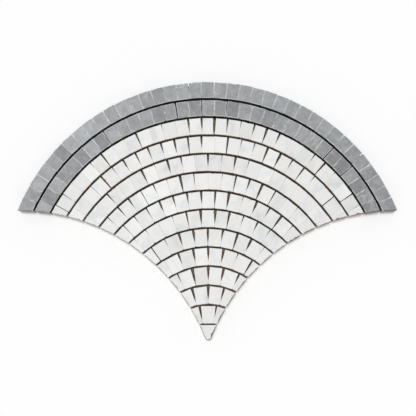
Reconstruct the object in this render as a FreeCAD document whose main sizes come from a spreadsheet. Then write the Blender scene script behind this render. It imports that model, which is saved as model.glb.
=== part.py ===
"""Fan-shaped marble mosaic sheet: curved rows of small stone chips bonded to a mesh backing.

The sheet lies flat on its mesh, +Z is up through the stone, +Y points to the crown of the fan and
the origin is under the middle of the sheet.  The fan repeats without a gap: each concave flank is
an arc of the same radius as the crown, so that two crowns of the next course fill the two flanks.
"""
import FreeCAD, Part
import math
import os
import random

import Sketcher

# Driving sizes in millimetres, two counts and one share.
SIZES = {
    "fan_width": 300.0,  # corner to corner
    "row_count": 13,  # curved rows above the tip chip
    "border_rows": 2,  # how many of them, under the crown, are grey
    "stone_thickness": 9.4,
    "chip_width": 9.8,  # along the row
    "chip_length": 13.5,  # across the row
    "chip_taper": 0.3,  # how much narrower a chip is cut at its lower end
    "arris": 0.4,  # bevel round the upper face of every chip
    "tip_chip_length": 15.8,  # to the sharp point where the flanks meet
    "tip_radius": 2.6,  # worn point of the tip chip
    "row_joint": 1.4,  # between two rows, on the axis of the fan
    "tight_joint": 0.15,  # between two chips of a row, at their lower ends
    "widest_joint": 2.1,  # most that such a joint opens to at the upper ends
    "border_spread": 0.2,  # how far the border's joints open, since its chips are cut to the curve
    "hand_play": 0.3,  # how far the hand that laid the chips was out
    "hand_spread": 0.8,  # how far one joint may open or close by hand
    "flank_closing": 0.85,  # share of its opening that a joint loses towards the flanks
    "end_chip_least": 2.6,  # narrow side of the chips that are cut to the flanks
    "tip_arc_radius": 16.0,  # what the rows' radius comes down to at the tip
    "mesh_pitch": 5.0,
    "thread_width": 0.8,
    "thread_thickness": 0.3,
    "mesh_inset": 1.5,  # how far the mesh stays back from the edge of the stone
}

# What follows from them: half the height of the fan is also the rise of its crown.
LAYOUT = {
    "mesh_thickness": "2 * sizes.thread_thickness",
    "half_width": "sizes.fan_width / 2",
    "row_pitch": "sizes.chip_length + sizes.row_joint",
    "rise": "(sizes.row_count * row_pitch + sizes.tip_chip_length) / 2",
    "crown_radius": "(half_width^2 + rise^2) / (2 * rise)",
}

UP = FreeCAD.Vector(0, 0, 1)

doc = FreeCAD.newDocument("fan_mosaic")
sizes = doc.addObject("Spreadsheet::Sheet", "sizes")
for line, (alias, value) in enumerate(SIZES.items(), start=1):
    sizes.set(f"A{line}", alias)
    sizes.set(f"B{line}", str(value))
    sizes.setAlias(f"B{line}", alias)
layout = doc.addObject("App::VarSet", "layout")
for name, formula in LAYOUT.items():
    layout.addProperty("App::PropertyFloat", name)
    layout.setExpression(name, formula)
doc.recompute()


def row_arc(drop):
    """Height of the centre and radius of the arc that crosses the axis `drop` below the crown."""
    share = drop / (2 * layout.rise)
    radius = layout.crown_radius * (1 - share) + sizes.tip_arc_radius * share**2
    return layout.rise - drop - radius, radius


def flank_corner(drop):
    """Where the arc at `drop` meets the right flank."""
    centre, radius = row_arc(drop)
    across, up = layout.half_width, -layout.crown_radius - centre
    reach = math.hypot(across, up)
    turn = math.acos((radius**2 + reach**2 - layout.crown_radius**2) / (2 * radius * reach))
    angle = math.atan2(across, up) - turn
    return FreeCAD.Vector(radius * math.sin(angle), centre + radius * math.cos(angle), 0)


def flank_distance(height):
    """Distance of the flanks from the axis at a height below the line of the corners."""
    return layout.half_width - math.sqrt(layout.crown_radius**2 - (height + layout.crown_radius) ** 2)


def point_on_arc(drop, centre, angle):
    """Point of the arc at `drop`, seen from the height `centre` at `angle` from the axis."""
    arc_centre, radius = row_arc(drop)
    offset = arc_centre - centre
    along = offset * math.cos(angle) + math.sqrt(radius**2 - (offset * math.sin(angle)) ** 2)
    return FreeCAD.Vector(along * math.sin(angle), centre + along * math.cos(angle), 0)


def mirrored(point):
    """The same point on the left half of the fan."""
    return FreeCAD.Vector(-point.x, point.y, point.z)


def lay_row(drop, hand, border):
    """Plan faces of one row of chips whose upper edges lie on the arc at `drop`.

    Straight chips on a curve touch at their lower ends and stand open at the upper ones, so each
    joint is a narrow wedge, and by hand one closes as another opens.  Border chips are cut to the
    curve.  Whole chips fill the middle, and the two end chips run on to the flanks and are cut there.
    """
    lower_drop = drop + sizes.chip_length
    centre, radius = row_arc((drop + lower_drop) / 2)
    lower_radius = radius - sizes.chip_length / 2
    upper_corner = flank_corner(drop)
    lower_corner = flank_corner(lower_drop)
    reach = min(math.atan2(corner.x, corner.y - centre) for corner in (upper_corner, lower_corner))

    widest = sizes.widest_joint - sizes.tight_joint
    wedge = sizes.chip_width * sizes.chip_length / lower_radius - sizes.chip_taper
    spread = sizes.border_spread if border else min(max(wedge, 0), widest)
    step = (sizes.chip_width + sizes.tight_joint + spread / 2) / radius
    whole_chips = max(0, int(2 * (reach - sizes.end_chip_least / lower_radius) / step))

    sides = [(mirrored(upper_corner), mirrored(lower_corner))]
    for joint in range(whole_chips + 1):
        wander = hand.uniform(-sizes.hand_play, sizes.hand_play) / radius
        angle = (joint - whole_chips / 2) * step + wander
        upper = point_on_arc(drop, centre, angle)
        lower = point_on_arc(lower_drop, centre, angle)
        tight = sizes.tight_joint + sizes.hand_spread * hand.random() ** 4
        opened = spread * (1 - sizes.flank_closing * (angle / reach) ** 2)
        opened += hand.uniform(-1, 1) * min(opened, sizes.hand_spread)
        along_row = FreeCAD.Vector(math.cos(angle), -math.sin(angle), 0)
        to_upper = along_row * ((tight + min(opened, widest)) / 2)
        to_lower = along_row * (tight / 2)
        sides.append((upper - to_upper, lower - to_lower))
        sides.append((upper + to_upper, lower + to_lower))
    sides.append((upper_corner, lower_corner))

    chips = []
    for left, right in zip(sides[0::2], sides[1::2]):
        rim = Part.makePolygon([left[0], left[1], right[1], right[0], left[0]])
        chips.append(Part.Face(rim))
        down = (left[1] + right[1] - left[0] - right[0]).normalize()
        if 1 < len(chips) < whole_chips + 2:
            chips[-1].translate(down * hand.uniform(0, sizes.hand_play / 2))
    return Part.makeCompound(chips)


def extrude(plan, name, height):
    """Solid of a plan, raised by a size."""
    block = doc.addObject("Part::Extrusion", name)
    block.Base = plan
    block.DirMode = "Custom"
    block.Dir = UP
    block.Solid = True
    block.setExpression("LengthFwd", height)
    return block


def ease_top(stone, label):
    """The same stone with a small bevel round every upper face."""
    doc.recompute()
    top = stone.Shape.BoundBox.ZMax
    eased = doc.addObject("Part::Chamfer", label)
    eased.Base = stone
    eased.Edges = [
        (number, sizes.arris, sizes.arris)
        for number, edge in enumerate(stone.Shape.Edges, start=1)
        if min(vertex.Z for vertex in edge.Vertexes) > top - sizes.arris / 2
    ]
    eased.setExpression("Placement.Base.z", "layout.mesh_thickness")
    return eased


def make_rows():
    """One sub-part for each curved row of chips, from the crown down."""
    rows = []
    for row in range(int(sizes.row_count)):
        field_row = row - int(sizes.border_rows) + 1
        label = f"border_row_{row + 1}" if field_row < 1 else f"field_row_{field_row:02d}"
        plan = doc.addObject("Part::Feature", f"{label}_plan")
        plan.Shape = lay_row(row * layout.row_pitch, random.Random(row), field_row < 1)
        stone = extrude(plan, f"{label}_stone", "sizes.stone_thickness")
        rows.append(ease_top(stone, label))
    return rows


def draw_outline(sketch, corners):
    """Straight sides from corner to corner, joined end to end."""
    sides = len(corners)
    for number, corner in enumerate(corners):
        sketch.addGeometry(Part.LineSegment(corner, corners[(number + 1) % sides]))
    for number in range(sides):
        sketch.addConstraint(Sketcher.Constraint("Coincident", number, 2, (number + 1) % sides, 1))


def hold(sketch, constraint, formula):
    """Constraint whose value follows a formula of the sizes."""
    number = sketch.addConstraint(constraint)
    sketch.setExpression(f"Constraints[{number}]", formula)


def origin_feature(body, role):
    """One of the body's own origin planes or axes."""
    return next(feature for feature in body.Origin.OriginFeatures if feature.Role == role)


def new_sketch(body, name):
    """Empty sketch on the body's own ground plane."""
    sketch = body.newObject("Sketcher::SketchObject", name)
    sketch.AttachmentSupport = [(origin_feature(body, "XY_Plane"), "")]
    sketch.MapMode = "FlatFace"
    return sketch


def make_tip_chip():
    """The last chip: a wedge between the flanks with a straight top and a worn point."""
    drop = sizes.row_count * layout.row_pitch
    top = (layout.rise - drop + flank_corner(drop).y) / 2
    corner = FreeCAD.Vector(flank_distance(top), top, 0)
    tip = FreeCAD.Vector(0, -layout.rise, 0)
    body = doc.addObject("PartDesign::Body", "tip_chip_wedge")
    sketch = new_sketch(body, "tip_chip_plan")
    draw_outline(sketch, [corner, mirrored(corner), tip])
    sketch.addConstraint(Sketcher.Constraint("Symmetric", 0, 1, 0, 2, -2))
    sketch.addConstraint(Sketcher.Constraint("PointOnObject", 2, 1, -2))
    sketch.addConstraint(Sketcher.Constraint("DistanceX", 0, 2, 0, 1, 2 * corner.x))
    sketch.addConstraint(Sketcher.Constraint("DistanceY", 2, 1, 0, 1, top - tip.y))
    hold(sketch, Sketcher.Constraint("DistanceY", 2, 1, -1, 1, layout.rise), "layout.rise")
    pad = body.newObject("PartDesign::Pad", "tip_chip_stone")
    pad.Profile = sketch
    pad.setExpression("Length", "sizes.stone_thickness")
    doc.recompute()
    point = next(
        f"Edge{number}"
        for number, edge in enumerate(pad.Shape.Edges, start=1)
        if max(vertex.Y for vertex in edge.Vertexes) < (top + 3 * tip.y) / 4
    )
    worn = body.newObject("PartDesign::Fillet", "tip_chip_point")
    worn.Base = (pad, [point])
    worn.setExpression("Radius", "sizes.tip_radius")
    body.Tip = worn
    return ease_top(body, "tip_chip")


def make_mesh_outline():
    """Fan outline of the mesh, a little inside the stone, as a block of the mesh's thickness."""
    crown_centre = FreeCAD.Vector(0, layout.rise - layout.crown_radius, 0)
    flank_centre = FreeCAD.Vector(layout.half_width, -layout.crown_radius, 0)
    corner = FreeCAD.Vector(layout.half_width, 0, 0)
    tip = FreeCAD.Vector(0, -layout.rise, 0)
    crown_place = ("0", "layout.rise - layout.crown_radius", "layout.crown_radius - sizes.mesh_inset")
    left_place = ("-layout.half_width", "-layout.crown_radius", "layout.crown_radius + sizes.mesh_inset")
    right_place = ("layout.half_width", *left_place[1:])
    arcs = (
        (crown_centre, corner, mirrored(corner), crown_place),
        (mirrored(flank_centre), tip, mirrored(corner), left_place),
        (flank_centre, corner, tip, right_place),
    )
    sketch = doc.addObject("Sketcher::SketchObject", "mesh_outline")
    for centre, first, last, place in arcs:
        angles = [math.atan2(end.y - centre.y, end.x - centre.x) for end in (first, last)]
        circle = Part.Circle(centre, UP, layout.crown_radius)
        arc = sketch.addGeometry(Part.ArcOfCircle(circle, *angles))
        across, along, radius = place
        hold(sketch, Sketcher.Constraint("DistanceX", -1, 1, arc, 3, centre.x), across)
        hold(sketch, Sketcher.Constraint("DistanceY", -1, 1, arc, 3, centre.y), along)
        hold(sketch, Sketcher.Constraint("Radius", arc, layout.crown_radius), radius)
    for first, first_end, second, second_end in ((0, 2, 1, 2), (1, 1, 2, 2), (2, 1, 0, 1)):
        sketch.addConstraint(Sketcher.Constraint("Coincident", first, first_end, second, second_end))
    return extrude(sketch, "mesh_block", "layout.mesh_thickness")


def make_threads(label, outline, axis, half_run, layer):
    """One layer of parallel mesh threads, repeated along an axis and cut to the outline."""
    side_by_side = axis == "X"
    width, length = sizes.thread_width, 2 * sizes.fan_width
    wide, tall = (width, length) if side_by_side else (length, width)
    body = doc.addObject("PartDesign::Body", f"{label}_run")
    body.AllowCompound = True
    sketch = new_sketch(body, f"{label}_thread")
    signs = ((-1, -1), (1, -1), (1, 1), (-1, 1))
    draw_outline(sketch, [FreeCAD.Vector(x * wide / 2, y * tall / 2, 0) for x, y in signs])
    for number, direction in enumerate(("Horizontal", "Vertical", "Horizontal", "Vertical")):
        sketch.addConstraint(Sketcher.Constraint(direction, number))
    sketch.addConstraint(Sketcher.Constraint("Symmetric", 0, 1, 1, 2, -1, 1))
    formulas = ("sizes.thread_width", "2 * sizes.fan_width")
    wide_formula, tall_formula = formulas if side_by_side else reversed(formulas)
    hold(sketch, Sketcher.Constraint("DistanceX", 0, 1, 0, 2, wide), wide_formula)
    hold(sketch, Sketcher.Constraint("DistanceY", 1, 1, 1, 2, tall), tall_formula)

    thread = body.newObject("PartDesign::Pad", f"{label}_pad")
    thread.Profile = sketch
    thread.setExpression("Length", "sizes.thread_thickness")
    doc.recompute()
    clear_run = f"({half_run} - sizes.mesh_inset - sizes.thread_width)"
    spans = f"2 * floor({clear_run} / sizes.mesh_pitch)"
    run = body.newObject("PartDesign::LinearPattern", f"{label}_pattern")
    run.Originals = [thread]
    run.Direction = (origin_feature(body, f"{axis}_Axis"), [""])
    run.setExpression("Occurrences", f"{spans} + 1")
    run.setExpression("Length", f"{spans} * sizes.mesh_pitch")
    body.Tip = run
    body.setExpression(f"Placement.Base.{axis.lower()}", f"-{spans} * sizes.mesh_pitch / 2")
    body.setExpression("Placement.Base.z", f"{layer} * sizes.thread_thickness")

    layer_cut = doc.addObject("Part::Common", label)
    layer_cut.Base = body
    layer_cut.Tool = outline
    return layer_cut


parts = make_rows()
parts.append(make_tip_chip())
mesh_block = make_mesh_outline()
parts.append(make_threads("mesh_warp", mesh_block, "X", "layout.half_width", 0))
parts.append(make_threads("mesh_weft", mesh_block, "Y", "layout.rise", 1))
doc.recompute()

# The origin goes under the middle of the sheet, half way between the crown and the worn point.
box = FreeCAD.BoundBox()
for part in parts:
    box.add(part.Shape.BoundBox)
for part in parts:
    part.Placement.Base.y = -box.Center.y
doc.recompute()

for item in doc.Objects:
    if "Invalid" in item.State or "Error" in item.State:
        raise RuntimeError(f"{item.Label} did not compute")
for part in parts:
    if part.Shape.isNull() or not part.Shape.isValid() or not part.Shape.Solids:
        raise RuntimeError(f"{part.Label} has no valid solid")

os.makedirs("parts", exist_ok=True)
for part in parts:
    part.Shape.exportStep(f"parts/{part.Label}.step")
    print(part.Label, len(part.Shape.Solids), "solids", round(part.Shape.Volume), "mm3")
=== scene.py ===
# %% [markdown]
# # A fish scale mosaic tile
# The tile is one fan of small marble chips, laid by hand in curved rows on a glass-fibre mesh: two
# grey rows round the crown, white rows below them, and one wedge of white at the tip.
# The solid model already says where every chip and thread lies. This lesson dresses it: each row
# of plain blocks becomes a row of sawn, handled stones, and each flat strip becomes yarn.

# %% Load the solid model as a fixed frame
import math
import random
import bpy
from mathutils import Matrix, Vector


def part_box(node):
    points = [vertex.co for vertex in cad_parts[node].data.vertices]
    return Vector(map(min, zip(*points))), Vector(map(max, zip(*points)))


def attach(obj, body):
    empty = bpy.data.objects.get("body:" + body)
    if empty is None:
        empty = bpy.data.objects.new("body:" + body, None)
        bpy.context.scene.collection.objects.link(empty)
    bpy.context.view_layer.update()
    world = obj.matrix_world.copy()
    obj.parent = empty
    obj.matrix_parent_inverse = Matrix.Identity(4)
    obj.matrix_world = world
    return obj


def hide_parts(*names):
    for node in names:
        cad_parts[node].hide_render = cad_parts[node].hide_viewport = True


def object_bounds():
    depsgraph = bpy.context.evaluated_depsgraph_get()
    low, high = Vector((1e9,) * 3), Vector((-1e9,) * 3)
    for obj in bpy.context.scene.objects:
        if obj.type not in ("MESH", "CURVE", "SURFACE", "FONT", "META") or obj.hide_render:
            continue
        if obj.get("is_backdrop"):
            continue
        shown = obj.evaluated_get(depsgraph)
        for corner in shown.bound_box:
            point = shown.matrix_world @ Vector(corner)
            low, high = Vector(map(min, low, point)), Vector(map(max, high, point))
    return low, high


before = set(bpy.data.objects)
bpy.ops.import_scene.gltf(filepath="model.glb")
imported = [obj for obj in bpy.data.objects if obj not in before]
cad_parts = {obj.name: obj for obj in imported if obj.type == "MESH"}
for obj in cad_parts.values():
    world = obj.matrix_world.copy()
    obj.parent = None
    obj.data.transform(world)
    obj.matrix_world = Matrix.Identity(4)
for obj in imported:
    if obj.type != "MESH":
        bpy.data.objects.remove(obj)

from types import SimpleNamespace

import bmesh
import bpy
from mathutils import Matrix, Vector
from mathutils.bvhtree import BVHTree

MM = 0.001
solid_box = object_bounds()
rows = sorted(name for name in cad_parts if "_row_" in name) + ["tip_chip"]
sheet_size = [round(side / MM, 1) for side in solid_box[1] - solid_box[0]]
print("rows of stone:", len(rows), "sheet in mm:", sheet_size)

# %% [markdown]
# ## Find each chip in its row
# A row is one mesh that holds many separate blocks. We could cut it apart with an operator, but we
# only need each chip's plan and its two heights, so we walk from vertex to vertex until a block is
# used up, and keep the corners of its back face in order.

# %% Read the chips of a row
SAME_PLACE = 1e-6  # metres: points nearer than this are one point


def blocks_of(node):
    """The separate blocks of a solid, each as a list of points."""
    solid = bmesh.new()
    solid.from_mesh(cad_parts[node].data)
    bmesh.ops.remove_doubles(solid, verts=solid.verts, dist=SAME_PLACE)
    seen, blocks = set(), []
    for start in solid.verts:
        if start in seen:
            continue
        seen.add(start)
        block, ahead = [], [start]
        while ahead:
            vert = ahead.pop()
            block.append(vert.co.copy())
            for other in (edge.other_vert(vert) for edge in vert.link_edges):
                if other not in seen:
                    seen.add(other)
                    ahead.append(other)
        blocks.append(block)
    solid.free()
    return blocks


def chip_plan(block):
    """The corners of a chip's back face, counter-clockwise, and its lowest and highest z."""
    low, high = min(p.z for p in block), max(p.z for p in block)
    corners = [p.to_2d() for p in block if p.z < low + SAME_PLACE]
    middle = sum(corners, Vector((0, 0))) / len(corners)
    corners.sort(key=lambda p: math.atan2(p.y - middle.y, p.x - middle.x))
    return corners, low, high


chips = {row: [chip_plan(block) for block in blocks_of(row)] for row in rows}
print("chips found:", sum(len(found) for found in chips.values()))

# %% [markdown]
# ## Measure the joints
# Where a joint is wide, dust and glue settle on its sides and they turn brown; the finish paints
# them darker still, as painted shade inside the joint. Where two chips almost touch they stay
# clean, and a side on the rim of the sheet is open to the light. A short ray from the side outwards
# measures this: it meets the next stone after the width of the joint, or nothing. Where two joints
# cross, a ray can run along the other joint and miss. A short run of misses between two hits
# therefore takes the widest measure beside it.

# %% Send a ray across a joint
RAY_START, RAY_REACH = 0.05, 4.5  # mm off the side, and mm that a ray looks for the next stone


def wall_of(names):
    """Something for the rays to meet: the solids of these rows."""
    points, faces = [], []
    for name in names:
        solid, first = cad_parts[name].data, len(points)
        points += [v.co.copy() for v in solid.vertices]
        faces += [[first + k for k in face.vertices] for face in solid.polygons]
    return BVHTree.FromPolygons(points, faces)


def joint_width(wall, point, outwards, height):
    """Millimetres from this point on a side to the next stone, or None where there is none near."""
    start = Vector((*(point + outwards * RAY_START * MM), height))
    distance = wall.ray_cast(start, outwards.to_3d(), RAY_REACH * MM)[3]
    return None if distance is None else distance / MM + RAY_START


def bridged(widths, longest=3):
    """The same measures, with a short miss at a crossing of joints filled from beside it."""
    filled, count = list(widths), len(widths)
    for k in range(count):
        near = [widths[(k + step) % count] for step in range(-longest, longest + 1)]
        before, after = near[:longest], near[longest + 1 :]
        if widths[k] is None and any(before) and any(after):
            filled[k] = max(width for width in near if width is not None)
    return filled


all_stone = wall_of(rows)
own_row = {row: wall_of([row]) for row in rows}
print("rows for the rays to meet:", len(own_row))

# %% [markdown]
# ## Round the plan of a chip
# The saw leaves sharp corners, and handling knocks them off. Each sharp corner is replaced with a
# short curve of its own size, and the straight runs are divided finely, so that later steps have
# points to wear away. A bevel modifier would round every corner alike.

# %% Draw the worn outline
SHARP_TURN = 0.35  # radians: a smaller turn is part of a curve
CORNER_REACH = (0.35, 0.95)  # mm that a corner is knocked back along each side
CORNER_SHARE = 0.3  # the most of a side that it may take
CORNER_STEPS = (0.0, 0.3, 0.7, 1.0)
POINT_STEP = 1.0  # mm between the points of an outline


def worn_outline(corners, chance):
    """A chip's plan as close points, with its sharp corners rounded."""
    points = []
    for k, here in enumerate(corners):
        into, out = here - corners[k - 1], corners[(k + 1) % len(corners)] - here
        if abs(into.angle_signed(out)) < SHARP_TURN:
            points.append(here)
            continue
        reach = chance.uniform(*CORNER_REACH) * MM
        reach = min(reach, CORNER_SHARE * into.length, CORNER_SHARE * out.length)
        start, end = here - into.normalized() * reach, here + out.normalized() * reach
        for s in CORNER_STEPS:
            points.append(start * (1 - s) ** 2 + here * 2 * s * (1 - s) + end * s**2)
    outline = []
    for k, here in enumerate(points):
        ahead = points[(k + 1) % len(points)] - here
        parts = max(1, round(ahead.length / (POINT_STEP * MM)))
        outline += [here + ahead * (j / parts) for j in range(parts)]
    return outline


sample = worn_outline(chips["tip_chip"][0][0], random.Random(0))
print("points round the tip chip:", len(sample))

# %% [markdown]
# ## Close and open the joints
# A setter pushes the chips of a row together until they nearly meet, so a side that faces a near
# stone of its own row is drawn out towards it. The crown row is drawn out most, because the table
# would show through its open ends. A side stops before half way, so no stone touches the next.
# Sides that face another row move by a fixed measure: the tip chip is drawn up to the row above it,
# and the border and the first rows of the field are drawn in, which widens the dark lines there.
# Scaling a stone would be quicker, but it moves all four sides alike.

# %% Lay out one stone
CROWN_ROW = "border_row_1"
CLOSING = {CROWN_ROW: (0.4, 1.7)}  # mm: the most a side moves, and the joint that stays as it is
USUAL_CLOSING = (0.23, 1.3)
CLOSING_EASE = 0.7  # mm of joint over which the move comes in
HALF_GAP = 0.02  # mm that a side keeps from the middle of the joint
ROW_DRAW = {"border_row_1": -0.2, "border_row_2": -0.2, "tip_chip": 0.3}  # mm towards other rows
ROW_DRAW.update({f"field_row_{number:02d}": -0.14 for number in (1, 2, 3, 4)})


def drawn_out(row, beside, across):
    """Millimetres that a side is drawn out towards the next stone, or in where it is negative."""
    if beside is not None:
        most, widest = CLOSING.get(row, USUAL_CLOSING)
        eased = max(0.0, min(1.0, (widest - beside) / CLOSING_EASE))
        return min(beside / 2 - HALF_GAP, most * eased)
    return 0.0 if across is None else ROW_DRAW.get(row, 0.0)


def lay_out(plan, row, chance):
    """A stone's place in the sheet: its outline, how its sides face, and the joints by them."""
    corners, low, high = plan
    outline = worn_outline(corners, chance)
    bed = SimpleNamespace(row=row, low=low, high=high, count=len(outline), outwards=[])
    bed.middle = sum(outline, Vector((0, 0))) / bed.count
    bed.length = sum((outline[k] - outline[k - 1]).length for k in range(bed.count))
    for k in range(bed.count):
        along = (outline[(k + 1) % bed.count] - outline[k - 1]).normalized()
        bed.outwards.append(Vector((along.y, -along.x)))
    sides, half_up = list(zip(outline, bed.outwards)), (low + high) / 2
    bed.beside = [joint_width(own_row[row], p, n, half_up) for p, n in sides]
    across = bridged([joint_width(all_stone, p, n, half_up) for p, n in sides])
    drawn = [drawn_out(row, *pair) for pair in zip(bed.beside, across)]
    bed.widths = [None if width is None else width - 2 * more for width, more in zip(across, drawn)]
    bed.outline = [p + n * (more * MM) for (p, n), more in zip(sides, drawn)]
    return bed


sample = lay_out(chips["tip_chip"][0], "tip_chip", random.Random(0))
print("joint above the tip chip in mm:", round(max(width or 0.0 for width in sample.widths), 2))

# %% [markdown]
# ## Wear the upper edge
# Stone breaks first along its upper edge, the arris. Its width wanders, and a few small bites are
# taken out of it. It wears least where two chips almost touch, because nothing can strike it there.
# A bevel modifier would cut the same edge all round, so we add up a few waves and bites for each
# stone instead. The grey stone's broken edge shows more than the white's, so it is never narrow.

# %% Wear the arris of a stone
ARRIS_WIDTH = 0.4  # mm
LEAST_WEAR = {"grey": 0.36, "white": 0.12}  # mm
WAVE_TURNS = (1, 2, 3, 5, 8, 13)  # waves round one stone
WAVE_SIZES = (0.02, 0.07)  # mm
BITE_COUNTS = (0, 0, 1, 1, 2, 3)
BITE_SPREADS, BITE_SIZES = (0.5, 1.3), (0.25, 0.8)  # mm
SHELTERED = 0.35  # share of the wear where two chips touch


def wear_round(widths, length, chance, least):
    """How far the arris is worn back, in metres, at each point of an outline of this length."""
    waves = [
        (turns, chance.uniform(0, math.tau), chance.uniform(*WAVE_SIZES)) for turns in WAVE_TURNS
    ]
    bites = [
        (chance.random(), chance.uniform(*BITE_SPREADS) * MM / length, chance.uniform(*BITE_SIZES))
        for _ in range(chance.choice(BITE_COUNTS))
    ]
    wear = []
    for k, width in enumerate(widths):
        s = k / len(widths)
        wander = sum(size * math.sin(math.tau * turns * s + turn) for turns, turn, size in waves)
        depth = ARRIS_WIDTH + wander
        for place, spread, size in bites:
            away = min(abs(s - place), 1 - abs(s - place))
            depth += size * math.exp(-((away / spread) ** 2))
        room = 1.0 if width is None else min(1.0, SHELTERED + (1 - SHELTERED) * width)
        wear.append(max(least, depth * room) * MM)
    return wear


worn_back = wear_round(sample.widths, sample.length, random.Random(0), LEAST_WEAR["white"])
print("arris of the tip chip in mm:", [round(f(worn_back) / MM, 2) for f in (min, max)])

# %% [markdown]
# ## Mark the dirt and the painted shade
# Glue and dust lie in the joints, and a brown smear lies on the sawn flanks of the sheet. Both
# marks also carry painted shade, in the joints and on the flanks, most on the right flank. Both
# creep a little way round a corner, so a point takes the most of the marks near it. The rim of the
# crown row stays clean. We keep these marks with the outline and let the finish turn them into
# colour later, because painting a picture for each stone would take far longer.

# %% Mark joints and flanks on a stone
# Flank marks: a brown glue smear and painted shade; the right flank, painted as the shaded side,
# gets more.
RIGHT_SMEAR_AND_SHADE, LEFT_SMEAR_AND_SHADE = 1.0, 0.8
FLANK_FACING = -0.1  # a rim side that faces further down the sheet than this was sawn to the flank
FLANK_WEAR = 0.4  # more wear on the flank
OPEN_DROP = 0.8  # how deep an open arris falls, as a share of its width
DROP_START, DROP_RISE = 0.06, 0.7  # the same in a joint, and its rise for each mm of joint
WIDEST_JOINT = 2.0  # mm: a wider joint looks no dirtier


def flank_smear_and_shade(p, outwards, width):
    """Smear and painted shade at a point: none in a joint or on a rim that faces the crown."""
    if width is not None or outwards.y > FLANK_FACING:
        return 0.0
    return RIGHT_SMEAR_AND_SHADE if p.x > 0 else LEFT_SMEAR_AND_SHADE


def crept(marks, reach=2):
    """The most of a mark within a few points, as dirt creeps round a corner."""
    count, steps = len(marks), range(-reach, reach + 1)
    return [max(marks[(k + step) % count] for step in steps) for k in range(count)]


def drop_of(width):
    """How far an arris beside a joint of this width falls, as a share of its wear."""
    return OPEN_DROP if width is None else min(OPEN_DROP, DROP_START + DROP_RISE * width)


def mark_stone(bed, chance):
    """Adds wear, joint and cut to a stone's place, one value for each point of its outline."""
    # cut holds the flank smear with its painted shade.
    bed.cut = [flank_smear_and_shade(*side) for side in zip(bed.outline, bed.outwards, bed.widths)]
    least = LEAST_WEAR["grey" if bed.row.startswith("border") else "white"]
    wear = wear_round(bed.widths, bed.length, chance, least)
    bed.wear = [depth * (1 + FLANK_WEAR * smear_and_shade) for depth, smear_and_shade in zip(wear, bed.cut)]
    bed.drop = [drop_of(width) for width in bed.widths]
    bed.joint = [0.0 if width is None else min(width, WIDEST_JOINT) for width in bed.widths]
    if bed.row != CROWN_ROW:
        sides = zip(bed.joint, crept(bed.joint), bed.widths)
        bed.joint = [most if width is None else here for here, most, width in sides]
        bed.cut = crept(bed.cut)


mark_stone(sample, random.Random(0))
dirty = sum(mark > 0 for mark in sample.joint)
print("dirty points round the tip chip:", dirty, "of", sample.count)

# %% [markdown]
# ## Shape one stone
# A stone is a stack of rings that all follow the outline: the back, the sawn side, the worn arris
# and the honed face. Each stone sits a little low and leans a little, as hand-laid stones do. We
# write the rings point by point rather than cut the solid, because then every point has a known
# place on the stone, and its wear, dirt and painted shade can be written down with it.

# %% Stack the rings of a stone
SINK, LEAN = 0.16, 0.006  # mm that a stone sits low at most, and radians
SAW_WAVES, SAW_MARKS = 3, (0.01, 0.03)  # waves on the sawn side, and mm
MOST_INSET = 0.6  # share of the way to the middle
# The dirt and smear in the foot and face rings also carry the painted shade of the joint and flank
# marks.
FOOT_RINGS = ((0.0, 1.0, 0.0), (0.0, 0.16, 0.0), (0.18, 0.0, 1.0))  # mm up, mm in, share of dirt
FOOT_WORN = 0.3
SIDE_RINGS = (0.3, 0.55, 0.78)  # shares of the height
ARRIS_RINGS = (  # share of the wear inwards, share of the drop, how worn it looks
    (0.02, 1.0, 0.4),
    (0.3, 0.42, 1.0),
    (0.72, 0.1, 1.0),
    (1.0, 0.0, 0.8),
)
FACE_RINGS = ((0.15, 0.8), (0.8, 0.0))  # mm further in, share of the smear
INNER_RINGS = (0.66, 0.33)  # shares of the way out from the middle


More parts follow.
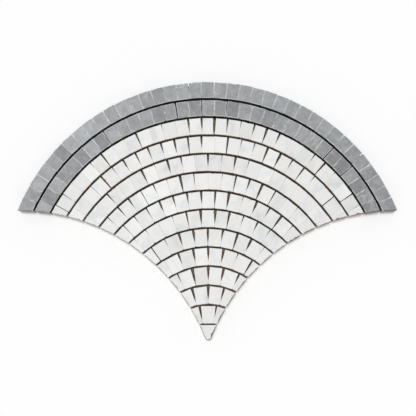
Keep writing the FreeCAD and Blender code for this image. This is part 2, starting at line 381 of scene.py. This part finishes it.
def stack_rings(bed, chance):
    """Rings of (plan point, z, worn, joint, cut) from back to face, then the two middle points."""
    sink = chance.uniform(0.0, SINK) * MM
    lean = Vector((chance.gauss(0, LEAN), chance.gauss(0, LEAN)))
    reach = max(abs(lean.dot(p - bed.middle)) for p in bed.outline)
    saw = [(chance.uniform(0, math.tau), chance.uniform(*SAW_MARKS) * MM) for _ in range(SAW_WAVES)]
    every = range(bed.count)

    def face_height(p):
        """The height of the leaning face over a point of the plan."""
        return bed.high - sink - reach + lean.dot(p - bed.middle)

    def sawn(k, turn):
        """How far in the saw cut at this point of a ring."""
        s = k / bed.count
        waves = [(math.tau * (turn + 2 * n + 1) * s + a, size) for n, (a, size) in enumerate(saw)]
        return sum(size * (1 + math.sin(angle)) for angle, size in waves)

    def inset(k, depth):
        """A point moved in by depth towards the middle, so that no two points cross."""
        spoke = bed.outline[k] - bed.middle
        return bed.outline[k] - spoke * min(MOST_INSET, depth / spoke.dot(bed.outwards[k]))

    rings = []
    for rise, depth, kept in FOOT_RINGS:
        z, worn = bed.low + rise * MM, FOOT_WORN * kept
        stains = [(bed.joint[k] * kept, bed.cut[k] * kept) for k in every]
        rings.append([(inset(k, depth * MM), z, worn, *stains[k]) for k in every])
    for turn, share in enumerate(SIDE_RINGS):
        z = bed.low + (bed.high - bed.low) * share
        rings.append([(inset(k, sawn(k, turn)), z, 0.0, bed.joint[k], bed.cut[k]) for k in every])
    for back, drop, worn in ARRIS_RINGS:
        ring = []
        for k in every:
            p = inset(k, bed.wear[k] * back)
            z = face_height(p) - bed.wear[k] * drop * bed.drop[k]
            ring.append((p, z, worn, bed.joint[k], bed.cut[k]))
        rings.append(ring)
    for further, kept in FACE_RINGS:
        ring = [inset(k, bed.wear[k] + further * MM) for k in every]
        rings.append([(p, face_height(p), 0.0, 0.0, bed.cut[k] * kept) for k, p in enumerate(ring)])
    inner = [mark[0] for mark in rings[-1]]
    for share in INNER_RINGS:
        ring = [bed.middle + (p - bed.middle) * share for p in inner]
        rings.append([(p, face_height(p), 0.0, 0.0, 0.0) for p in ring])
    middles = [(bed.middle, z, 0.0, 0.0, 0.0) for z in (face_height(bed.middle), bed.low)]
    return rings, middles


print("rings in a stone:", len(stack_rings(sample, random.Random(0))[0]))

# %% [markdown]
# ## Build the rows
# One mesh a row keeps the model easy to handle, and the finish still has to tell the stones apart.
# So each stone writes what is its own into named attributes: its tone, the place in the quarry
# block it was cut from, where it is worn and which side lies in a joint. The finish reads them.

# %% Write a stone into the mesh of its row
STONE_MARKS = ("worn", "joint", "cut", "dusty", "tone")
ROW_TONES = {"border_row_1": 0.6, "border_row_2": -0.7}
MOST_TONE = 2.2
QUARRY_BLOCK = 400  # mm


def ring_faces(first, count, levels, closed=False):
    """The faces between neighbouring rings of points; closed joins the last ring to the first."""
    faces = []
    for level in range(levels if closed else levels - 1):
        here, above = first + level * count, first + (level + 1) % levels * count
        for k in range(count):
            after = (k + 1) % count
            faces.append((here + k, here + after, above + after, above + k))
    return faces


def add_stone(bed, rings, middles, chance, stone):
    """Adds a stone to the lists of its row: points, faces, and what the finish needs to know."""
    first, count, levels = len(stone["points"]), bed.count, len(rings)
    place = [chance.uniform(0, QUARRY_BLOCK) for _ in range(3)]
    tone = max(-MOST_TONE, min(MOST_TONE, chance.gauss(ROW_TONES.get(bed.row, 0.0), 1)))
    for k, (p, z, *mark) in enumerate([mark for ring in rings for mark in ring] + middles):
        stone["points"].append((p.x, p.y, z))
        dusty = 1.0 if bed.beside[k % count] is None else 0.0
        for name, value in zip(STONE_MARKS, (*mark, dusty, tone)):
            stone[name].append(value)
        stone["place"] += place
    stone["faces"] += ring_faces(first, count, levels)
    top, face_middle = first + (levels - 1) * count, first + levels * count
    for k in range(count):
        after = (k + 1) % count
        stone["faces"].append((top + k, top + after, face_middle))
        stone["faces"].append((first + after, first + k, face_middle + 1))


# %% Make a piece for each row
ROW_SEED = 100


def make_piece(name, points, faces):
    """A mesh object with smooth faces that moves with the sheet."""
    mesh = bpy.data.meshes.new(name)
    mesh.from_pydata(points, [], faces)
    mesh.shade_smooth()
    piece = bpy.data.objects.new(name, mesh)
    bpy.context.scene.collection.objects.link(piece)
    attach(piece, "root")
    return piece


def triangles_of(piece):
    """The number of triangles that a piece's faces come to."""
    return sum(len(face.vertices) - 2 for face in piece.data.polygons)


stone_rows, beds = {}, []
for number, row in enumerate(rows):
    chance = random.Random(ROW_SEED + number)
    stone = {name: [] for name in ("points", "faces", *STONE_MARKS, "place")}
    for plan in chips[row]:
        bed = lay_out(plan, row, chance)
        mark_stone(bed, chance)
        add_stone(bed, *stack_rings(bed, chance), chance, stone)
        beds.append(bed)
    piece = make_piece("stones_" + row, stone["points"], stone["faces"])
    attributes = piece.data.attributes
    for name in STONE_MARKS:
        attributes.new(name, "FLOAT", "POINT").data.foreach_set("value", stone[name])
    attributes.new("place", "FLOAT_VECTOR", "POINT").data.foreach_set("vector", stone["place"])
    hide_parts(row)
    stone_rows[row] = piece
triangles = [triangles_of(piece) for piece in stone_rows.values()]
print("stones:", len(beds), "triangles:", sum(triangles), "most in a row:", max(triangles))

# %% [markdown]
# ## Squeeze out the glue
# Each chip was pressed into brown resin that holds it to the mesh. The resin rises a little in the
# joints and closes them at the bottom, which is why they look dark from above. A bead follows each
# outline: it starts under the chip, climbs its foot and ends a little past the middle of the joint,
# where it meets the next chip's bead. It fills the mouth of a joint too, but on the rim it stays
# back under the stone. A flat film would be simpler, but it would lie level where resin climbs.

# %% Run a bead of glue round each chip
GLUE_SEED = 900
GLUE_SECTION = (  # mm out from the chip's side, height in mm, 1 where it reaches across the joint
    (-1.0, 0.56, 0),
    (-0.12, 0.57, 0),
    (0.03, 0.66, 0),
    (0.06, 1.25, 0),
    (0.02, 0.85, 1),
    (0.02, 0.4, 1),
    (-1.0, 0.4, 0),
)
GLUE_SAG = 0.14  # mm that a bead sags at most
CLIMBING = 0.8  # mm: higher points of the section climb the stone
CLIMB_SPREAD, CLIMB_FROM = (0.8, 1.15), 0.6  # share of the height, and mm
LEAST_CLIMB = 0.2  # share of the climb beside a closed joint
WIDEST_BEAD = 2.4  # mm of joint that a bead follows
BEAD_SHARE, PAST_MIDDLE = 0.92, 0.9  # the most of a joint it takes, and mm past the middle
RIM_BACK, RIM_CLEAR = -0.35, 0.15  # mm: where a bead ends on the rim, and what it keeps from it
RIM_NEAR = 8  # points along the outline
MOUTH = (-2, -1, 0, 1, 2)  # neighbours that show a point to be in the mouth of a joint


def bead_end(across, reaches, width):
    """How far out from the chip's side a point of the section lies, in mm."""
    if not width:
        return min(across, RIM_BACK)
    return across + reaches * min(BEAD_SHARE * width, width / 2 + PAST_MIDDLE)


def glue_points(bed, chance):
    """The points of one bead, ring after ring along the section."""
    points, count, sag = [], bed.count, chance.uniform(0.0, GLUE_SAG)
    near = [[bed.widths[(k + step) % count] or 0.0 for step in MOUTH] for k in range(count)]
    rim = [k for k in range(count) if not any(near[k])]
    for across, rise, reaches in GLUE_SECTION:
        for k in range(count):
            width = min(max(near[k]), WIDEST_BEAD)
            climb = rise * chance.uniform(*CLIMB_SPREAD) - CLIMB_FROM
            climb = climb * MM * min(1.0, LEAST_CLIMB + width)
            z = (rise - sag) * MM if rise < CLIMBING else bed.low + climb
            p = bed.outline[k] + bed.outwards[k] * (bead_end(across, reaches, width) * MM)
            for j in rim:
                if min((j - k) % count, (k - j) % count) <= RIM_NEAR:
                    past = (p - bed.outline[j]).dot(bed.outwards[j]) + RIM_CLEAR * MM
                    p -= bed.outwards[j] * max(0.0, past)
            points.append((p.x, p.y, z))
    return points


glue = {"points": [], "faces": []}
for number, bed in enumerate(beds):
    first = len(glue["points"])
    glue["points"] += glue_points(bed, random.Random(GLUE_SEED + number))
    glue["faces"] += ring_faces(first, bed.count, len(GLUE_SECTION), closed=True)
glue_piece = make_piece("glue_beads", glue["points"], glue["faces"])
print("glue triangles:", triangles_of(glue_piece))

# %% [markdown]
# ## Spin the backing yarn
# The mesh is glass yarn in a gauze weave: flat cross threads, and pairs of thin long threads that
# swap sides between one cross thread and the next, so that the holes can't slide. The solid model
# has plain strips there. We sweep a small rounded section along each path, which costs less than
# a curve object and lets the pairs twist.

# %% Sweep a thread along its path
YARN_THICK = 0.24 * MM


def sweep(path, across, wide, sides, cloth):
    """Adds a thread of an oval section along path; across is the direction of its width."""
    first, upwards = len(cloth["points"]), Vector((0, 0, 1))
    for p in path:
        for k in range(sides):
            turn = math.tau * (k + 0.5) / sides
            rise = upwards * (YARN_THICK / 2 * math.sin(turn))
            cloth["points"].append(p + across * (wide / 2 * math.cos(turn)) + rise)
    cloth["faces"] += ring_faces(first, sides, len(path))
    last = first + (len(path) - 1) * sides
    cloth["faces"].append(tuple(first + k for k in reversed(range(sides))))
    cloth["faces"].append(tuple(last + k for k in range(sides)))


def strip_box(block):
    """The lowest and the highest corner of a plain strip."""
    low = Vector([min(p[axis] for p in block) for axis in range(3)])
    high = Vector([max(p[axis] for p in block) for axis in range(3)])
    return low, high


cloth_nodes = ("mesh_warp", "mesh_weft")
strips = {node: [strip_box(block) for block in blocks_of(node)] for node in cloth_nodes}
cross_lines = sorted((low.y + high.y) / 2 for low, high in strips["mesh_weft"])
pitch = (cross_lines[-1] - cross_lines[0]) / (len(cross_lines) - 1)
half_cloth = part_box("mesh_weft")[1].z / 2
print("cross threads:", len(cross_lines), "pitch in mm:", round(pitch / MM, 2))

# %% Weave the cross threads and the twisted pairs
CROSS_WIDE, CROSS_STEP, CROSS_SIDES = 0.95 * MM, 1.25 * MM, 6
CROSS_WAVE = 0.03 * MM
PAIR_WIDE, PAIR_STEP, PAIR_SIDES = 0.38 * MM, 0.9 * MM, 5
PAIR_SWING, PAIR_LIFT = 0.21 * MM, 0.16 * MM

weft = {"points": [], "faces": []}
for low, high in strips["mesh_weft"]:
    y, parts = (low.y + high.y) / 2, max(2, round((high.x - low.x) / CROSS_STEP))
    path = []
    for k in range(parts + 1):
        x = low.x + (high.x - low.x) * k / parts
        path.append(Vector((x, y, half_cloth + CROSS_WAVE * math.sin(math.tau * x / pitch))))
    sweep(path, Vector((0, 1, 0)), CROSS_WIDE, CROSS_SIDES, weft)

warp = {"points": [], "faces": []}
for low, high in strips["mesh_warp"]:
    x, parts = (low.x + high.x) / 2, max(2, round((high.y - low.y) / PAIR_STEP))
    for side in (1, -1):
        path = []
        for k in range(parts + 1):
            y = low.y + (high.y - low.y) * k / parts
            turn = math.pi * (y - cross_lines[0]) / pitch
            lift = side * PAIR_LIFT * (0.5 + 0.5 * math.cos(2 * turn))
            path.append(Vector((x + side * PAIR_SWING * math.cos(turn), y, half_cloth + lift)))
        sweep(path, Vector((1, 0, 0)), PAIR_WIDE, PAIR_SIDES, warp)

cloth_pieces = {}
for node, cloth in (("mesh_warp", warp), ("mesh_weft", weft)):
    piece = make_piece("yarn_" + node, cloth["points"], cloth["faces"])
    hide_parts(node)
    cloth_pieces[node] = piece
    print(piece.name, "triangles:", triangles_of(piece))

# %% [markdown]
# ## Write finishes as sums
# A finish in Blender is a net of nodes, which is hard to read in a script. This small class stands
# for one output of a node. Adding or multiplying two of them makes the node that does it, so that
# a finish reads like the sum it is.

# %% A value that changes over the surface


class Shade:
    """One output of a shader node, for use in ordinary sums."""

    def __init__(self, tree, socket=None):
        self.tree, self.socket = tree, socket

    def node(self, kind, settings=None, inputs=None, output=0):
        """Adds any node: its settings first, then its inputs, each a number, tuple or Shade."""
        new = self.tree.nodes.new("ShaderNode" + kind)
        for name, value in (settings or {}).items():
            setattr(new, name, value)
        for name, value in (inputs or {}).items():
            if isinstance(value, Shade):
                self.tree.links.new(value.socket, new.inputs[name])
            else:
                new.inputs[name].default_value = value
        return Shade(self.tree, new.outputs[output])

    def work(self, operation, first, second):
        """One sum of two values: on three numbers at once where either is a colour or vector."""
        pair = (first, second)
        wide = any(
            v.socket.type != "VALUE" if isinstance(v, Shade) else isinstance(v, tuple) for v in pair
        )
        if wide:
            pair = [(v, v, v) if isinstance(v, (int, float)) else v for v in pair]
        kind = "VectorMath" if wide else "Math"
        return self.node(kind, {"operation": operation}, dict(enumerate(pair)))

    def __add__(self, other):
        return self.work("ADD", self, other)

    def __sub__(self, other):
        return self.work("SUBTRACT", self, other)

    def __mul__(self, other):
        return self.work("MULTIPLY", self, other)

    def __rsub__(self, other):
        return self.work("SUBTRACT", other, self)

    def __abs__(self):
        return self.node("Math", {"operation": "ABSOLUTE"}, {0: self})

    __radd__, __rmul__ = __add__, __mul__

    def rise(self, low, high):
        """0 below low, 1 above high, and a smooth step between; high may be the smaller."""
        ends = {"Value": self, "From Min": low, "From Max": high}
        return self.node("MapRange", {"interpolation_type": "SMOOTHSTEP"}, ends)

    def blend(self, none, full):
        """One colour where this is 0 and another where it is 1."""
        colours = [c if isinstance(c, Shade) else (*c, 1.0) for c in (none, full)]
        return self.node("Mix", {"data_type": "RGBA"}, {0: self, 6: colours[0], 7: colours[1]}, 2)

    def noise(self, size, detail=3.0, rough=0.55, bend=0.0):
        """Cloudy noise from 0 to 1, its features about size wide in these coordinates."""
        values = {"Vector": self, "Scale": 1 / size, "Detail": detail, "Roughness": rough}
        return self.node("TexNoise", {}, {**values, "Distortion": bend})


# %% Start a finish and plug values into its shader


def new_finish(name):
    """A material, its main shader and a Shade to start sums from."""
    finish = bpy.data.materials.new(name)
    finish.use_nodes = True
    shader = finish.node_tree.nodes["Principled BSDF"]
    return finish, shader, Shade(finish.node_tree)


def connect(shader, **values):
    """Links values to the sockets they are named for, with _ for a space."""
    for name, value in values.items():
        value.tree.links.new(value.socket, shader.inputs[name.replace("_", " ")])


def in_millimetres(start):
    """Where a point lies on the sheet, in mm."""
    return start.node("TexCoord", output="Object") * (1 / MM)


def relief(height, strength, deep):
    """Fine relief: dents of this depth in mm where the height is low."""
    values = {"Strength": strength, "Distance": deep * MM, "Height": height}
    return height.node("Bump", {}, values)


# %% [markdown]
# ## What every stone shares
# Marble is a mass of small crystals, so both stones get the same sugar grain, honed sheen and sawn
# sides. A stone's own place in the block is added to the coordinates before any noise is drawn:
# two neighbours then never share a cloud or a vein, as they never do on a real sheet. The marks
# say where dirt and painted shade may lie, and noise breaks its edge up, because dirt never ends
# in a clean line.

# %% Coordinates, wear, stain and painted shade, and grain


def stone_mark(start, name):
    """A number that the stones wrote into their points."""
    return start.node("Attribute", {"attribute_name": name}, output="Fac")


def stone_facts(start):
    """Values that both marbles use; sizes and heights are in mm."""
    here = in_millimetres(start)
    spot = here + start.node("Attribute", {"attribute_name": "place"}, output="Vector")
    height = start.node("SeparateXYZ", {}, {0: here}, output="Z")
    # cut carries the flank smear with its painted shade; joint is the width of the joint.
    cut, joint = stone_mark(start, "cut"), stone_mark(start, "joint")
    ragged = height + spot.noise(2.6, 4.0, 0.65) * 7.0 - 3.5  # wanders up to 3.5 mm both ways
    brim = ragged.rise(4.0, 8.8) * cut.rise(0.5, 1.0)  # thickest just under the face
    runs = (spot * (0.3, 0.3, 0.13)).noise(1.0, 4.0).rise(0.42, 0.78)  # long down the side
    loose = spot.noise(3.2, 3.0).rise(0.32, 0.68)
    return {
        "spot": spot,
        "tone": stone_mark(start, "tone"),
        # Flank smear with painted shade, darkest just under the face.
        "smear_and_shade": brim + (1 - brim) * cut * runs * 0.6,
        "worn": stone_mark(start, "worn") * spot.noise(2.2, 3.0).rise(0.22, 0.5),
        # Joint dust with painted shade, growing down the walls of wide joints.
        "stain_and_shade": joint.rise(0.3, 0.9) * height.rise(9.95, 9.0),  # wide joints, below the face
        "foot": height.rise(2.6, 0.7) * spot.noise(3.0, 4.0).rise(0.35, 0.7),  # next to the glue
        "grain": spot.noise(0.55, 2.0, 0.7),
        "speck": spot.noise(2.4, 4.0, 0.7),
        "dust": loose * 0.5 + stone_mark(start, "dusty") * 0.5,
    }


def honed(shader, facts, least, most):
    """Sheen and fine relief: the honed face is smoother than the broken edge."""
    sheen = facts["spot"].noise(7.0, 3.0) * (most - least) + least
    dents = relief(facts["grain"] + facts["worn"], 0.16, 0.06)
    connect(shader, Roughness=sheen + facts["worn"] * 0.2, Normal=dents)


# %% [markdown]
# ## White marble
# The field is a clean white stone with soft grey clouds and now and then a faint vein. A vein is
# where noise crosses its middle value: the distance from that value, cut off close to zero, leaves
# a thin wandering line. Clouds come first, then veins and grain, and last the dirt together with
# the painted shade in the joints and on the flanks.

# %% Mix the white
CLEAN_WHITE, CLOUD_GREY, VEIN_GREY = (0.725, 0.734, 0.722), (0.585, 0.605, 0.61), (0.5, 0.515, 0.52)
WARM_PATCH = (0.01, 0.002, -0.016)  # added to red, green and blue
CRUSHED_WHITE, GLUED_FOOT = (0.9, 0.9, 0.89), (0.42, 0.37, 0.31)
# Browns of the flank smear, dark enough to serve as painted shade as well.
SMEAR_AND_SHADE_BROWNS = (0.12, 0.076, 0.052), (0.2, 0.14, 0.1)
# Browns of the joint dust, darkened to serve as painted shade inside the joints.
JOINT_DUST_AND_SHADE_BROWNS = (0.1, 0.08, 0.062), (0.54, 0.405, 0.27)

white_finish, shader, start = new_finish("white_marble")
facts = stone_facts(start)
spot = facts["spot"]
cloud = spot.noise(15.0, 4.0, 0.6, 0.6).rise(0.46, 0.74)
vein = abs(spot.noise(26.0, 4.0, 0.6, 1.2) - 0.5).rise(0.022, 0.0)
vein = vein * spot.noise(30.0, 1.0).rise(0.5, 0.62)
white = (cloud * 0.85).blend(CLEAN_WHITE, CLOUD_GREY)
white = (vein * 0.4).blend(white, VEIN_GREY)
white = white * (spot.noise(11.0, 2.0).rise(0.5, 0.72) * WARM_PATCH + 1.0)
white = white * (facts["tone"] * 0.04 + facts["grain"] * 0.06 + facts["speck"] * 0.1 + 0.888)
white = (facts["worn"] * 0.4).blend(white, CRUSHED_WHITE)
white = (facts["foot"] * 0.35).blend(white, GLUED_FOOT)
# Flank sides: brown glue smear with painted shade, heaviest on the right flank.
white = (facts["smear_and_shade"] * 0.95).blend(white, facts["dust"].blend(*SMEAR_AND_SHADE_BROWNS))
# Joint walls: brown dust, darkened further as painted shade down the joint.
white = (facts["stain_and_shade"] * 0.95).blend(white, facts["dust"].blend(*JOINT_DUST_AND_SHADE_BROWNS))
connect(shader, Base_Color=white)
honed(shader, facts, 0.38, 0.52)
print("white marble nodes:", len(white_finish.node_tree.nodes))

# %% [markdown]
# ## Grey marble
# The two border rows are a blue-grey stone. It varies more from chip to chip, has darker smoke and
# pale threads in it, and its broken edges look almost white, because crushed crystals scatter the
# light. That pale line round each chip is what makes the border read as separate stones.

# %% Mix the grey
SMOKE_GREYS, THREAD_GREY = ((0.194, 0.205, 0.214), (0.289, 0.302, 0.311)), (0.5, 0.51, 0.52)
CRUSHED_GREY, GREY_FOOT = (0.7, 0.71, 0.71), (0.25, 0.22, 0.19)
# Browns of the grey flank smear, also painted shade.
GREY_SMEAR_AND_SHADE_BROWNS = (0.09, 0.065, 0.05), (0.15, 0.115, 0.09)
# Near-black joint browns: painted shade in the grey joints, with a little dust.
GREY_JOINT_DUST_AND_SHADE = (0.016, 0.013, 0.01), (0.045, 0.036, 0.028)

grey_finish, shader, start = new_finish("grey_marble")
facts = stone_facts(start)
spot = facts["spot"]
smoke = spot.noise(8.0, 5.0, 0.62, 0.8).rise(0.3, 0.72)
thread = abs(spot.noise(19.0, 2.0, 0.5, 0.9) - 0.5).rise(0.03, 0.0)
thread = thread * spot.noise(40.0, 1.0).rise(0.52, 0.66)
bruise = spot.noise(7.0, 3.0).rise(0.38, 0.58) * 0.8 + 0.2
grey = smoke.blend(*SMOKE_GREYS)
grey = (thread * 0.5).blend(grey, THREAD_GREY)
grey = grey * (facts["tone"] * 0.13 + facts["grain"] * 0.16 + facts["speck"] * 0.7 + 0.51)
grey = (facts["worn"] * bruise).blend(grey, CRUSHED_GREY)
grey = (facts["foot"] * 0.3).blend(grey, GREY_FOOT)
# Flank sides: glue smear with painted shade, heaviest on the right flank.
grey = (facts["smear_and_shade"] * 0.95).blend(grey, facts["dust"].blend(*GREY_SMEAR_AND_SHADE_BROWNS))
# Joint walls: mostly painted shade in the grey joints, with a little dust.
grey = (facts["stain_and_shade"] * facts["stain_and_shade"] * 0.98).blend(grey, facts["dust"].blend(*GREY_JOINT_DUST_AND_SHADE))
connect(shader, Base_Color=grey)
honed(shader, facts, 0.36, 0.5)
print("grey marble nodes:", len(grey_finish.node_tree.nodes))

# %% [markdown]
# ## Coated yarn and glue
# Glass yarn for mosaic is dipped in a milky resin. The finish is off-white, a little yellow where
# the resin is thick, with fine slanting lines where the filaments show through. The glue is a dull
# brown resin with soft ripples. Noise and a little relief do for both, since they lie in the dark.

# %% Mix the yarn
YARN_WHITE, YARN_YELLOW = (0.66, 0.65, 0.61), (0.58, 0.54, 0.45)
yarn_finish, shader, start = new_finish("mesh_thread")
here = in_millimetres(start)
lines = (here * (9.0, 9.0, 3.0)).noise(1.0, 1.0)
thick = here.noise(4.0, 3.0).rise(0.35, 0.7)
yarn = thick.blend(YARN_WHITE, YARN_YELLOW) * (lines * 0.3 + 0.85)
connect(shader, Base_Color=yarn, Roughness=thick * -0.2 + 0.62, Normal=relief(lines, 0.5, 0.05))
print("yarn nodes:", len(yarn_finish.node_tree.nodes))

# %% Mix the glue and put on all the finishes
DARK_GLUE, PALE_GLUE = (0.12, 0.085, 0.056), (0.22, 0.158, 0.103)
glue_finish, shader, start = new_finish("brown_glue")
drawn = in_millimetres(start).noise(2.5, 4.0, 0.6)
brown = drawn.rise(0.35, 0.7).blend(DARK_GLUE, PALE_GLUE)
connect(shader, Base_Color=brown, Roughness=drawn * 0.3 + 0.3, Normal=relief(drawn, 0.4, 0.2))
glue_piece.data.materials.append(glue_finish)

finished = [glue_piece, *stone_rows.values(), *cloth_pieces.values()]
for row, piece in stone_rows.items():
    grey_row = row.startswith("border")
    piece.data.materials.append(grey_finish if grey_row else white_finish)
for piece in cloth_pieces.values():
    piece.data.materials.append(yarn_finish)
print("finished pieces:", len(finished))

# %% [markdown]
# ## A white table and soft light
# The sheet lies on a white table under a wide soft light, nearly overhead and a little to the upper
# left, with the white room filling in. Together they give a level at which a white surface renders
# as white and every colour about as it was mixed. The camera sees the room as plain white.

# %% Lay the floor
TABLE_HALF = 4.0  # metres
TABLE_WHITES = (0.975, 0.975, 0.975), (0.985, 0.985, 0.985)

floor_mesh = bpy.data.meshes.new("floor")
corners = [(x * TABLE_HALF, y * TABLE_HALF, 0) for x, y in ((-1, -1), (1, -1), (1, 1), (-1, 1))]
floor_mesh.from_pydata(corners, [], [(0, 1, 2, 3)])
floor = bpy.data.objects.new("floor", floor_mesh)
bpy.context.scene.collection.objects.link(floor)
floor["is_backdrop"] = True
floor_finish, shader, start = new_finish("white_table")
paper = start.node("TexCoord", output="Object").noise(0.4, 2.0)
connect(shader, Base_Color=paper.blend(*TABLE_WHITES))
shader.inputs["Roughness"].default_value = 0.9
shader.inputs["Specular IOR Level"].default_value = 0.0
floor_mesh.materials.append(floor_finish)
print("table in m:", 2 * TABLE_HALF)

# %% Light the room
ROOM_LIGHT, LAMP_LIGHT = 0.45, 0.56  # together they light a white table to white
LAMP_DIRECTION, LAMP_ANGLE = Vector((0.07, -0.1, -1.0)), math.radians(18)
SEEN_RAYS = ("Is Camera Ray", "Is Glossy Ray", "Is Transmission Ray")

room = bpy.data.worlds.new("room")
room.use_nodes = True
background = room.node_tree.nodes["Background"]
rays = Shade(room.node_tree).node("LightPath").socket.node.outputs
seen = [Shade(room.node_tree, rays[name]) for name in SEEN_RAYS]
any_seen = (seen[0] + seen[1] + seen[2]).rise(0.0, 1.0)
connect(background, Strength=any_seen * (1 - ROOM_LIGHT) + ROOM_LIGHT)
background.inputs["Color"].default_value = (1, 1, 1, 1)
bpy.context.scene.world = room

lamp_data = bpy.data.lights.new("wide_lamp", "SUN")
lamp = bpy.data.objects.new("wide_lamp", lamp_data)
bpy.context.scene.collection.objects.link(lamp)
from_lamp = LAMP_DIRECTION.normalized()
lamp.rotation_euler = from_lamp.to_track_quat("-Z", "Y").to_euler()
lamp_data.energy = LAMP_LIGHT * math.pi / -from_lamp.z
lamp_data.angle = LAMP_ANGLE
print("lamp strength:", round(lamp_data.energy, 2))

# %% [markdown]
# ## The camera
# The sheet is seen from almost straight above, from about 1.7 times its width away. A camera that
# looks nearly straight down has no natural upward side, so its three axes are written out: to the
# right along the sheet's width, and upwards towards the crown. A tracking constraint would do it
# too, but it can turn over when the view comes near to straight down.

# %% Place the camera and set the view
AIM, AWAY, SIDEWAYS = Vector((0.0, 0.0006, 0.005)), 0.52, -0.006  # metres
ELEVATION = math.radians(83)
LENS, SENSOR = 56.5, 36.0  # mm, as on a camera

camera_data = bpy.data.cameras.new("camera")
camera = bpy.data.objects.new("camera", camera_data)
bpy.context.scene.collection.objects.link(camera)
eye = AIM + Vector((SIDEWAYS, -AWAY * math.cos(ELEVATION), AWAY * math.sin(ELEVATION)))
forwards = (AIM - eye).normalized()
right = (Vector((1, 0, 0)) - forwards * forwards.x).normalized()
axes = Matrix((right, right.cross(forwards), -forwards)).transposed()
camera.matrix_world = Matrix.Translation(eye) @ axes.to_4x4()
camera_data.sensor_width = SENSOR
camera_data.lens = LENS
camera_data.clip_start, camera_data.clip_end = 0.02, 50.0
bpy.context.scene.camera = camera
bpy.context.scene.view_settings.view_transform = "Standard"
print("camera height over the table in mm:", round(eye.z / MM))

# %% [markdown]
# ## Measure the dressed sheet
# Dressing must not make the sheet larger, because it nests with others of its own size. So we
# measure the finished sheet as we measured the solid one, and write both boxes down.

# %% Measure the dressed sheet and finish
bpy.context.view_layer.update()
dressed_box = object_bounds()
sizes = {"solid": [list(c) for c in solid_box], "dressed": [list(c) for c in dressed_box]}
in_mm = [[round(x / MM, 2) for x in c] for box in sizes.values() for c in box]
print("solid and dressed boxes in mm:", in_mm)
